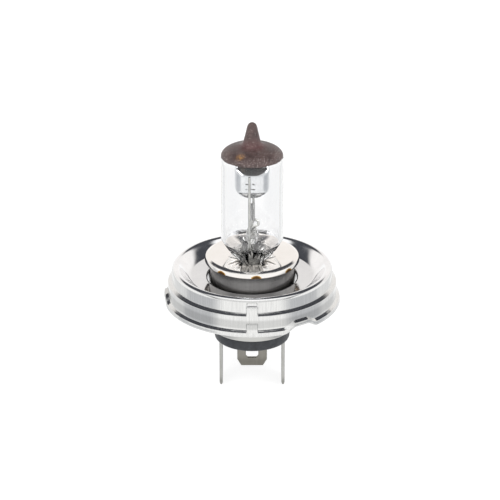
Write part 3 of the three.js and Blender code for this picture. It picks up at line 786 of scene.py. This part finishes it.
def make_base():
    """The moulded insulator: a rim with a small step, and a dished well between the blades."""
    well, neck = 5.2, CAN - 1.3
    step, rim_top = BASE_FOOT + 1.0, CAN_FOOT - 0.3
    corners = [(0, step), (well, step), (well + 0.25, BASE_FOOT), (BASE - 0.12, BASE_FOOT), (BASE, step)]
    corners += [(BASE, rim_top), (neck, rim_top), (neck, BASE_TOP)]
    corners += [(well, BASE_TOP), (well, rim_top), (0, rim_top)]
    profile = rounded(corners, [0, 0.3, 0.3, 0.55, 0, 0.25, 0.05, 0.2, 0.2, 0.2, 0])
    base = make_object("moulded_base", *turned_solid(profile, full_turn(200)), PLASTIC, sharp=50)
    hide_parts("insulator_base")


def blade_blank(name, loops, thickness):
    """A flat sheet mesh with softened edges, from outlines in its own plane."""
    soft = 0.14
    curve = bpy.data.curves.new(name, "CURVE")
    curve.dimensions = "2D"
    curve.fill_mode = "BOTH"
    curve.extrude = (thickness / 2 - soft) * MM
    curve.bevel_depth = soft * MM
    curve.bevel_resolution = 3
    curve.offset = -soft * MM
    for loop in loops:
        line = curve.splines.new("POLY")
        line.points.add(len(loop) - 1)
        for point, (x, z) in zip(line.points, loop):
            point.co = (x * MM, z * MM, 0, 1)
        line.use_cyclic_u = True
    temporary = bpy.data.objects.new(name + "_curve", curve)
    bpy.context.collection.objects.link(temporary)
    bpy.context.view_layer.update()
    mesh = bpy.data.meshes.new_from_object(temporary)
    bpy.data.objects.remove(temporary)
    return mesh


def make_blade(name, replaced, holed, turn, place, look):
    """A contact blade: a narrow root, a wide blade, chamfered corners and a tip pressed thinner."""
    lo, hi = node_box(replaced)
    width, thickness = (pick(hi[0] - lo[0], hi[1] - lo[1]) for pick in (max, min))
    half, root, tip, chamfer = width / 2, 2.7, width / 2 - 1.05, 1.9
    shoulder, top = BASE_FOOT - 0.3, hi[2]
    right = [(tip, 0.0), (half, chamfer), (half, shoulder), (root, shoulder), (root, top)]
    left = [(-x, z) for x, z in right[::-1]]
    loops = [[left[-1], *right, *left[:-1]]]
    if holed:
        hole = [(1.1, 6.0), (1.6, 5.5), (1.6, 2.9), (1.1, 2.4)]
        loops.append([(-x, z) for x, z in hole[::-1]] + hole)
    mesh = blade_blank(name, loops, thickness)
    coined = 0.8  # height over which the tip is pressed thinner

    def cut(bm):
        for level in (coined, coined * 0.4):
            everything = bm.verts[:] + bm.edges[:] + bm.faces[:]
            bmesh.ops.bisect_plane(bm, geom=everything, plane_co=(0, level * MM, 0), plane_no=(0, 1, 0))

    edit_mesh(mesh, cut)
    vertices = []
    c, s = math.cos(turn), math.sin(turn)
    for v in mesh.vertices:
        x, z, y = v.co.x / MM, v.co.y / MM, -v.co.z / MM
        y *= 0.4 + 0.6 * math.sqrt(min(max(z / coined, 0.0), 1.0))
        vertices.append((place[0] + x * c - y * s, place[1] + x * s + y * c, z))
    faces = [tuple(p.vertices) for p in mesh.polygons]
    bpy.data.meshes.remove(mesh)
    blade = make_object(name, vertices, faces, look, sharp=30)
    weld(blade)
    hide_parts(replaced)


# ---------- quartz and coating ----------


def coat_profile():
    """Outer surface of the painted dome and exhaust tip, from its edge to the axis."""
    rise, tip_round = 2.85, 1.2
    angles = np.radians(np.linspace(2, 60, 14))
    dome = [(COAT * math.cos(a), COAT_FOOT + rise * math.sin(a)) for a in angles]
    tip = [(3.0, 2.82), (2.5, 3.2), (2.16, 3.8), (1.94, 4.6), (1.74, 5.4), (1.5, 6.5), (1.32, 7.4)]
    tip = [(r, COAT_FOOT + up) for r, up in tip]
    cap = arc(0, TIP_TOP - tip_round, tip_round, 10, 90, 8)
    flank = [tuple(p) for p in spline([dome[-1], *tip, cap[0]], 6)]
    return dome[:-1] + flank[:-1] + [(max(r, 0), z) for r, z in cap]


def make_coating():
    """The paint as a thin shell, with a wavy lower edge and a few lumps near the tip."""
    outer = coat_profile()
    thick = 0.3
    inner = [(max(r, 0.0), z) for r, z in offset(outer[::-1], thick)]
    inner[0] = (0.0, TIP_TOP - thick)
    edge = [(COAT - inset, COAT_FOOT - drop) for inset, drop in ((0.26, 0.14), (0.12, 0.2), (0.02, 0.12))]

    def warp(index, azimuth, r, z):
        c, s = math.cos(azimuth), math.sin(azimuth)
        low = 1 - ease((z - COAT_FOOT + 0.2) / 0.9)
        wave = noise.noise(Vector((c * 2.2, s * 2.2, 4.0)))
        fine = noise.noise(Vector((c * 9, s * 9, 1.0)))
        lump = noise.noise(Vector((r * c * 0.5, r * s * 0.5, z * 0.5)))
        grow = 0.05 * lump * ease(7.4 - r)
        return r + grow * (r > 0.5), z + low * (0.16 * wave + 0.07 * fine)

    shell = turned_solid([*inner, *edge, *outer], full_turn(200), warp)
    coat = make_object("painted_dome", *shell, PAINT, sharp=60)
    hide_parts("dome_coating")


def shoulder_sections(wall, foot, pinch_x, pinch_y):
    """Sections of the tube's closing shoulder, from the pinch up to the round tube."""
    sections = []
    radius = TUBE - wall
    for t in np.linspace(0, 1, 25):
        z = foot + (SHOULDER - wall * 0.5 - foot) * t
        swell = 1 - (1 - t) ** 1.4
        half_x, half_y = (half + (radius - half) * swell for half in (pinch_x, pinch_y))
        sections.append((z, half_x, half_y, 2 + 5 * (1 - t) ** 2.2))
    return sections


def make_envelope():
    """The quartz: pinch, shoulder, tube and closed top, with the gas space inside."""
    outer = [
        (PINCH_FOOT, PINCH_X - 0.4, PINCH_Y - 0.4, 6),
        (PINCH_FOOT + 0.1, PINCH_X - 0.15, PINCH_Y - 0.15, 8),
        (PINCH_FOOT + 0.4, PINCH_X, PINCH_Y, 10),
    ]
    outer += [(z, PINCH_X, PINCH_Y, 10) for z in np.linspace(PINCH_FOOT + 1, DISC_TOP - 0.4, 8)]
    outer += shoulder_sections(0, DISC_TOP - 0.1, PINCH_X + 0.6, PINCH_Y)
    outer += [(z, TUBE, TUBE, 2) for z in np.linspace(SHOULDER + 0.4, COAT_FOOT - 0.9, 24)]
    for drop, inset in ((0.55, 0.03), (0.25, 0.16)):
        outer.append((COAT_FOOT - drop, TUBE - inset, TUBE - inset, 2))
    paint_gap = 0.33
    under_paint = [(max(r, 0.0), z) for r, z in offset(coat_profile()[::-1], paint_gap)][::-1]
    for r, z in under_paint[:-1]:
        if z > outer[-1][0] and r > 0.05:
            outer.append((z, r, r, 2))
    outer.append((TIP_TOP - 0.36, 0.05, 0.05, 2))

    chamber_foot = DISC_TOP + 1.5
    bore = TUBE - GLASS_WALL
    chamber = [(chamber_foot - 0.2, 0.6, 2.6, 2.2), (chamber_foot - 0.15, 1.4, 3.6, 2.3)]
    chamber += shoulder_sections(GLASS_WALL, chamber_foot, 2.0, PINCH_Y - 1.3)
    chamber += [(z, bore, bore, 2) for z in np.linspace(SHOULDER + 0.2, COAT_FOOT - 1.4, 20)]
    for a in np.radians(np.linspace(8, 82, 9)):
        chamber.append((COAT_FOOT - 1.2 + 2.3 * math.sin(a), bore * math.cos(a), bore * math.cos(a), 2))
    shell = joined(lofted(outer), flipped(lofted(chamber)))
    glass = make_object("quartz_envelope", *shell, QUARTZ, sharp=60)
    glass.data.materials.append(PRESSED)
    for face in glass.data.polygons:
        face.material_index = int(face.center.z < (DISC_TOP - 0.3) * MM)
    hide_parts("glass_envelope")


# ---------- filaments, wires and shield ----------


def make_shield():
    """A polished half capsule, bent in along its top edge, open at the back and top."""
    half, depth = SHIELD_HI[0], -SHIELD_LO[1]
    foot, top = SHIELD_LO[2], SHIELD_HI[2]
    bowl, wall, square = 3.3, 0.22, 2.7
    bend, bend_in = 1.9, 1.5
    rows = []
    for a in np.radians(np.linspace(-88, 0, 22)):
        rows.append((foot + bowl + bowl * math.sin(a), math.cos(a), math.cos(a), square))
    rows += [(z, 1.0, 1.0, square) for z in np.linspace(foot + bowl, top - bend - 0.1, 10)[1:]]
    for t in np.linspace(0.04, 1, 8):
        rows.append((top - bend + bend * t, 1 - 0.03 * t * t, 1 - bend_in / depth * t, square + 3.5 * t))
    angles = np.linspace(math.pi, 2 * math.pi, 97)

    def skin(inset):
        points = []
        for z, share_x, share_y, power in rows:
            hx, hy = max(half * share_x - inset, 0.05), max(depth * share_y - inset, 0.05)
            zz = z + (inset if z < foot + bowl * 0.3 else 0)
            points += [(x, min(y, 0.0), zz) for x, y in zip(*superellipse(hx, hy, power, angles))]
        return points

    n, last_row = len(angles), (len(rows) - 1) * len(angles)
    outer, inner = skin(0), skin(wall)
    shift = len(outer)
    faces = grid_faces(len(rows), n, False, False)
    faces += [tuple(k + shift for k in f[::-1]) for f in faces]
    for i in range(len(rows) - 1):
        for j, order in ((0, 1), (n - 1, -1)):
            a, b = i * n + j, (i + 1) * n + j
            faces.append((a, b, b + shift, a + shift)[::order])
    for j in range(n - 1):
        a, b = last_row + j, last_row + j + 1
        faces.append((a, b, b + shift, a + shift))
        faces.append((j + 1, j, j + shift, j + 1 + shift))
    shield = make_object("shield_spoon", outer + inner, faces, SHIELD, sharp=40)
    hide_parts("dip_shield")


def make_filament(name, replaced, turns):
    """A coil along the lamp axis, with a straight leg at each end."""
    lo, hi = node_box(replaced)
    leg, radius, wire = 0.9, 0.6, 0.13
    foot, top = lo[2] + leg, hi[2] - leg
    path = [(radius * 0.3, 0, lo[2] + wire), (radius * 0.7, 0, foot - 0.3)]
    for k in range(turns * 20 + 1):
        a = 2 * math.pi * k / 20
        path.append((radius * math.cos(a), radius * math.sin(a), foot + (top - foot) * k / (turns * 20)))
    path += [(radius * 0.7, 0, top + 0.3), (radius * 0.3, 0, hi[2] - wire)]
    coil = make_object(name, *swept(path, wire, 8), TUNGSTEN, sharp=80)
    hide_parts(replaced)


def make_wires():
    """The shield's rod, the hooked wire under the high coil and the tall wire to the low coil."""
    low = FOIL_TOP + 0.3
    rod_x, rod_y = -0.65, SHIELD_LO[1] - 0.3 - WIRE
    bead_foot, bead_top = BRIDGE_LO[2], BRIDGE_HI[2]
    rod = [(0, -LEAD, low), (0, -LEAD, DISC_TOP + 1.7), (rod_x, rod_y, bead_foot - 0.6)]
    rod += [(rod_x, rod_y + 0.25, z) for z in np.linspace(bead_foot + 1.5, ROD_TOP - WIRE, 5)]
    coil = node_box("high_beam_filament")[0][2] + 0.9
    hook = [(0, 0, low), (0, 0, bead_foot), (0, 0, bead_top), (0.7, -0.3, bead_top + 0.9)]
    hook += [(1.5, -0.2, bead_top + 1.4), (1.45, 0, bead_top + 2.2), (0.9, 0, coil + 0.2)]
    top = SHIELD_HI[2] + 0.6
    tall = [(0, LEAD, low), (0, LEAD, bead_top), (WIRE, LEAD, coil), (WIRE, LEAD, top - 1.6)]
    tall += [(WIRE, LEAD - 0.5, top - 0.4), (WIRE, LEAD - 1.6, top), (0, 0.65, top)]
    for name, replaced, path in (
        ("rod", "shield_rod", rod),
        ("hooked_wire", "high_beam_wire", hook),
        ("tall_wire", "low_beam_wire", tall),
    ):
        wire = make_object(name, *swept(spline(path, 10), WIRE, 20), WIRE_METAL, sharp=80)
        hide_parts(replaced)


def make_bridge():
    """The lumpy quartz bead that holds the three wires apart."""
    half_x, half_y, half_z = 1.75, BRIDGE_HI[1] - 0.1, 1.6
    centre_z = (BRIDGE_LO[2] + BRIDGE_HI[2]) / 2
    rows, columns = 40, 64
    vertices = []
    for i in range(rows + 1):
        polar = math.pi * i / rows
        for j in range(columns):
            a = 2 * math.pi * j / columns
            d = Vector((math.sin(polar) * math.cos(a), math.cos(polar), math.sin(polar) * math.sin(a)))
            lumps = 1 + 0.16 * noise.noise(d * 2.3 + Vector((3, 1, 2))) + 0.10 * noise.noise(d * 6.0)
            y = d.y * half_y
            waist = 0.86 + 0.14 * math.cos(2 * math.pi * y / 3.3)
            vertices.append((d.x * half_x * lumps * waist, y, centre_z + d.z * half_z * lumps * waist))
    faces = grid_faces(rows + 1, columns, False, True)
    bead = make_object("bead", vertices, faces, BEAD, sharp=60)
    weld(bead)
    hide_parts("quartz_bridge")


# ---------- crown and CAD nodes ----------


def leaf(base, outward, up_angle, length, width, curl, crease, twist):
    """A pointed tab: base point, outward direction in plan, angle above the disc, curl and twist."""
    rows, thick, vertices = 9, 0.14, []
    up = np.array([0, 0, 1])
    out = np.array([math.cos(outward), math.sin(outward), 0])
    side = np.array([-out[1], out[0], 0])
    p, angle = np.array(base, float), up_angle
    for i in range(rows + 1):
        t = i / rows
        w = width / 2 * (1 - t**2.4) + 0.05
        d = out * math.cos(angle) + up * math.sin(angle)
        flat = np.cross(d, side)
        across = side * math.cos(twist) + flat * math.sin(twist)
        n = flat * math.cos(twist) - side * math.sin(twist)
        ring = [p - across * w, p - n * crease * w, p + across * w]
        back = [q - n * thick * (1 - 0.5 * t) for q in ring]
        vertices += [tuple(q) for q in ring + back[::-1]]
        p = p + d * length / rows
        angle += curl / rows
    ends = [tuple(range(6))[::-1], tuple(rows * 6 + k for k in range(6))]
    return vertices, grid_faces(rows + 1, 6, False, True) + ends


def make_crown():
    """The torn sheet that grips the pinch: a sleeve with pointed tabs all round and two flat side tabs."""
    rng = random.Random(3)
    sleeve_x, sleeve_y = 2.2, 5.8
    foot, top = DISC_TOP - 1.6, DISC_TOP + 0.2
    sections = (0.3, foot), (0.3, top), (0.15, top), (0.1, top - 0.4), (-0.2, top - 0.5), (-0.2, foot)
    vertices = []
    for inset, z in sections:
        xs, ys = superellipse(sleeve_x + inset, sleeve_y + inset, 9, full_turn(120))
        vertices += [(x, y, z) for x, y in zip(xs, ys)]
    parts = [(vertices, grid_faces(len(sections), 120, True, True))]

    def tab(x, y, azimuth, lean, length, width, curl, crease, twist=0.0):
        azimuth, lean, curl, twist = (math.radians(a) for a in (azimuth, lean, curl, twist))
        parts.append(leaf((x, y, DISC_TOP + 0.16), azimuth, lean, length, width, curl, crease, twist))

    # the front tabs are longer and stand steeper than the back ones
    for side, count, steepest, longest in ((-1, 7, 61, 5.4), (1, 5, 44, 2.2)):
        for k in np.linspace(-2, 2, count):
            spread = k * 13 + rng.uniform(-5, 5)
            lean = steepest - abs(k) * 4 + rng.uniform(-3, 0)
            length = longest - abs(k) * 0.5 + rng.uniform(-0.4, 0.4)
            twist = k * 14 + rng.uniform(-22, 22)
            azimuth, curl = side * (90 - spread), rng.uniform(-14, 0)
            tab(k * 0.95, side * (sleeve_y + 0.5), azimuth, lean, length, 1.6, curl, 0.5, twist)
        for y in np.linspace(-4.2, 4.2, 5):
            azimuth = (0 if side > 0 else 180) + rng.uniform(-24, 24)
            length = 1.5 + rng.uniform(-0.4, 0.4)
            lean, twist = 40 + rng.uniform(-8, 2), rng.uniform(-25, 25)
            tab(side * (sleeve_x + 0.35), y, azimuth, lean, length, 1.1, rng.uniform(-25, 0), 0.4, twist)
        azimuth = -8 if side > 0 else 188
        tab(side * (sleeve_x + 0.3), -3.6, azimuth, 10, 3.6, 0.75, 14, 0.2)
    crown = make_object("claw_crown", *joined(*parts), CROWN, sharp=25)
    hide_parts("retainer_crown")


def finish_cad_nodes():
    """Nodes whose CAD shape stays get their material."""
    looks = {"pinch_holder": SATIN}
    for place in ("front", "middle", "rear"):
        looks["foil_" + place] = FOIL
        looks["outer_lead_" + place] = WIRE_METAL
    for name, look in looks.items():
        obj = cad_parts[name]
        obj.data.materials.clear()
        obj.data.materials.append(look)


# ---------- stage ----------


def make_world():
    """Soft studio surround by direction: x to the right, y away from the camera, z up."""
    world = bpy.data.worlds.new("studio")
    bpy.context.scene.world = world
    world.use_nodes = True
    nodes = Nodes(world.node_tree, "Generated")
    x, y, z = nodes.axes()
    aside = nodes.math("ABSOLUTE", x)
    behind, below = (y, 0.05, 0.25), (z, -0.06, -0.16)
    gap_overhead = (0.065, 0.068, 0.078)
    # each tone covers the directions inside all its (direction, outside, inside) limits
    regions = {
        "back": ((0.98, 0.955, 0.935), (y, -0.05, 0.15), (z, 0.60, 0.49)),
        "softbox": ((1.15, 1.15, 1.15), (y, 0.02, -0.10), (z, 0.62, 0.72)),
        "sides": ((1.1, 1.1, 1.1), (aside, 0.72, 0.88), (z, 0.80, 0.66)),
        "front": ((0.82, 0.82, 0.82), (y, -0.25, -0.45), (z, 0.68, 0.62), (aside, 0.80, 0.62)),
        "table": ((1.06, 1.06, 1.055), (z, 0.16, 0.08)),
        "table_behind": ((1.0, 1.0, 1.0), behind, below),
        "behind_side": ((0.84, 0.845, 0.85), (aside, 0.40, 0.56), behind, below),
        "table_side": ((0.60, 0.61, 0.63), (aside, 0.58, 0.80), (y, 0.35, 0.15), below),
    }
    colour = gap_overhead
    for tone, first, *others in regions.values():
        share = nodes.spread(*first)
        for limit in others:
            share = nodes.times(share, nodes.spread(*limit))
        colour = nodes.mix(share, colour, tone)
    background = nodes.node("ShaderNodeBackground")
    nodes.feed(background.inputs["Color"], colour)
    background.inputs["Strength"].default_value = 1.0
    nodes.feed(nodes.node("ShaderNodeOutputWorld").inputs[0], background.outputs[0])


def make_stage():
    """A pale floor, and a pale surround that shows behind the object from low angles."""
    look = Look("pale_floor", Roughness=0.9, Specular_IOR_Level=0.1, Emission_Strength=0.86)
    tone = look.tones(look.noise(400.0), (0.24, 0.24, 0.24), (0.26, 0.26, 0.26))
    look.set(Base_Color=tone, Emission_Color=(1, 1, 1, 1))
    size = 3.0
    corners = [(-size, -size, 0), (size, -size, 0), (size, size, 0), (-size, size, 0)]
    floor = new_object("floor", corners, [(0, 1, 2, 3)], look.material)
    floor.visible_glossy = floor.visible_transmission = False

    wall = Look("pale_surround", Base_Color=(0, 0, 0, 1), Specular_IOR_Level=0.0, Emission_Strength=1.0)
    wall.set(Emission_Color=wall.tones(wall.noise(900.0), (1.0, 1.0, 1.0), (1.03, 1.03, 1.03)))
    rows, columns, radius = 12, 48, 2.6
    profile = arc(0, 0, radius, -6, 90, rows)
    faces = [f[::-1] for f in grid_faces(rows + 1, columns, False, True)]
    surround = new_object("surround", revolved(profile, full_turn(columns)), faces, wall.material)
    for rays in ("glossy", "transmission", "diffuse", "shadow", "volume_scatter"):
        setattr(surround, "visible_" + rays, False)


def make_lights():
    """Two soft area lights, left and right of the camera."""
    aim = Vector((0, 0, 0.04))
    for name, place, power in (("key", (-0.45, -0.55, 0.75), 5.0), ("fill", (0.6, -0.35, 0.55), 3.0)):
        data = bpy.data.lights.new(name, "AREA")
        data.size, data.energy = 0.5, power
        light = bpy.data.objects.new(name, data)
        light.location = place
        light.rotation_mode = "QUATERNION"
        light.rotation_quaternion = (Vector(place) - aim).to_track_quat("Z", "Y")
        light.visible_glossy = False
        bpy.context.collection.objects.link(light)


def make_camera():
    """In front, looking down a little, far off with a long lens."""
    distance, tilt, field = 600 * MM, math.radians(24.66), math.radians(11.94)
    target = Vector((0, 0, (LIP_FOOT + 13.46) * MM))
    data = bpy.data.cameras.new("camera")
    data.sensor_width = 36
    data.lens = data.sensor_width / 2 / math.tan(field / 2)
    data.shift_x = -0.0042
    data.clip_start, data.clip_end = 0.01, 20
    camera = bpy.data.objects.new("camera", data)
    back = Vector((0, -math.cos(tilt), math.sin(tilt)))
    camera.location = target + back * distance
    camera.rotation_mode = "QUATERNION"
    camera.rotation_quaternion = back.to_track_quat("Z", "Y")
    bpy.context.collection.objects.link(camera)
    bpy.context.scene.camera = camera
    bpy.context.scene.view_settings.view_transform = "Standard"


make_collar()
make_can()
make_disc()
make_base()
for side in ("left", "right"):
    lo, hi = node_box("blade_" + side)
    centre = ((lo[0] + hi[0]) / 2, 0)
    make_blade("blade_of_" + side, "blade_" + side, False, math.pi / 2, centre, SIDE_PLATING_LIT)
lo, hi = node_box("blade_rear")
make_blade("blade_of_rear", "blade_rear", True, 0.0, (0, (lo[1] + hi[1]) / 2), REAR_PLATING_SHADED)
make_coating()
make_envelope()
make_shield()
make_filament("high_coil", "high_beam_filament", 9)
make_filament("low_coil", "low_beam_filament", 10)
make_wires()
make_bridge()
make_crown()
finish_cad_nodes()
make_world()
make_stage()
make_lights()
make_camera()
